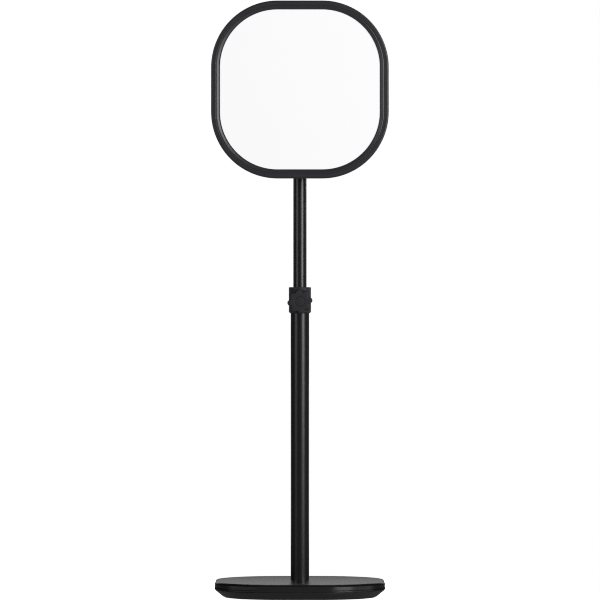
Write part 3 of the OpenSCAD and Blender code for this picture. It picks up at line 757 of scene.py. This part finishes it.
def pale_floor():
    """A round floor that the camera sees, but that doesn't light the object or mirror in it."""
    mesh = bpy.data.meshes.new("floor")
    form = bmesh.new()
    bmesh.ops.create_circle(form, cap_ends=True, radius=0.36, segments=96)
    form.to_mesh(mesh)
    form.free()
    floor = bpy.data.objects.new("floor", mesh)
    bpy.context.scene.collection.objects.link(floor)
    pale = surface("pale_floor", (0.9, 0.9, 0.9), 0.9, bump=0.0, wear=0)
    shader = pale.node_tree.nodes["Principled BSDF"]
    shader.inputs["Emission Color"].default_value = (1, 1, 1, 1)
    shader.inputs["Emission Strength"].default_value = 0.95
    floor.data.materials.append(pale)
    floor.visible_diffuse = False
    floor.visible_glossy = False


def studio_world():
    """White where the camera sees past the object, and dark around it, with a glow from below."""
    world = bpy.data.worlds.new("studio")
    bpy.context.scene.world = world
    world.use_nodes = True
    tree = world.node_tree
    tree.nodes.clear()
    out = tree.nodes.new("ShaderNodeOutputWorld")
    seen = tree.nodes.new("ShaderNodeBackground")
    seen.inputs["Color"].default_value = (1, 1, 1, 1)
    around = tree.nodes.new("ShaderNodeBackground")
    place = tree.nodes.new("ShaderNodeTexCoord")
    split = tree.nodes.new("ShaderNodeSeparateXYZ")
    link(tree, place, "Generated", split, 0)
    bounce = tree.nodes.new("ShaderNodeMapRange")
    bounce.inputs["From Min"].default_value = -0.15
    bounce.inputs["From Max"].default_value = 0.0
    bounce.inputs["To Min"].default_value = 0.22
    bounce.inputs["To Max"].default_value = 0.008
    link(tree, split, "Z", bounce, "Value")
    link(tree, bounce, "Result", around, "Strength")
    rays = tree.nodes.new("ShaderNodeLightPath")
    mix = tree.nodes.new("ShaderNodeMixShader")
    link(tree, rays, "Is Camera Ray", mix, "Fac")
    link(tree, around, "Background", mix, 1)
    link(tree, seen, "Background", mix, 2)
    link(tree, mix, "Shader", out, "Surface")


def soft_box(name, azimuth, distance, height, width, tall, watts, aim=None, skips=(), only=()):
    """An area light facing the object's axis at height aim, or level with itself.

    Light linking lets it leave out the pieces in skips, or light none but those in only.
    """
    lamp = bpy.data.lights.new(name, "AREA")
    lamp.shape = "RECTANGLE"
    lamp.size = width
    lamp.size_y = tall
    lamp.energy = watts
    box = bpy.data.objects.new(name, lamp)
    angle = math.radians(azimuth)
    box.location = (distance * math.sin(angle), -distance * math.cos(angle), height)
    towards = Vector((0, 0, height if aim is None else aim)) - box.location
    box.rotation_euler = towards.to_track_quat("-Z", "Y").to_euler()
    box.visible_camera = False
    bpy.context.scene.collection.objects.link(box)
    if skips or only:
        group = bpy.data.collections.new(name + "_receivers")
        for piece in (*skips, *only):
            group.objects.link(bpy.data.objects[piece])
        for entry in group.collection_objects:
            entry.light_linking.link_state = "EXCLUDE" if skips else "INCLUDE"
        box.light_linking.receiver_collection = group


def lights():
    """Key, fill and rear boxes for the light itself, and boxes of its own for the glossy base.

    The base's top is flat and glossy. From behind it would mirror the key as a white patch, and
    from above it would be almost black without the high box.
    """
    base = "base_cover_shell"
    knob = "clamp_knob_grip"
    # Azimuth from the front, distance, height of the middle, width, height of the box, watts.
    soft_box("key_right", 43, 2.0, 0.85, 0.95, 1.2, 30, skips=[base])
    soft_box("fill_left", -50, 2.0, 0.85, 0.9, 1.2, 8, skips=[base])
    soft_box("low_front", 0, 2.0, 0.55, 4.0, 1.5, 8, only=[base])
    soft_box("low_right", 43, 2.0, 0.05, 1.05, 0.5, 7.5, only=[base])
    soft_box("low_left_end", -70, 1.2, 0.02, 1.2, 0.3, 0.8, only=[base])
    soft_box("low_right_end", 75, 1.2, 0.02, 1.2, 0.3, 1.2, only=[base])
    soft_box("high_back", 180, 1.2, 2.0, 1.5, 1.5, 10, aim=0, only=[base])
    soft_box("back_low", 180, 0.3, 0.15, 0.5, 0.2, 0.185)
    soft_box("rear_right", 145, 1.9, 1.3, 1.8, 1.4, 32, aim=0.45, skips=[base, knob])
    soft_box("rear_left", -145, 1.9, 1.3, 1.8, 1.4, 22, aim=0.45, skips=[base, knob])


def front_camera():
    """A long lens from straight in front, level with the middle of the object."""
    camera = bpy.data.cameras.new("camera")
    camera.lens = 313.5
    camera.sensor_width = 36
    camera.clip_end = 50
    eye = bpy.data.objects.new("camera", camera)
    eye.location = (0.0001, -6.118, 0.3463)
    eye.rotation_euler = (math.radians(90), 0, 0)
    bpy.context.scene.collection.objects.link(eye)
    bpy.context.scene.camera = eye


bpy.context.scene.view_settings.view_transform = "Standard"
bpy.context.scene.cycles.filter_width = 1.1
pale_floor()
studio_world()
lights()
front_camera()
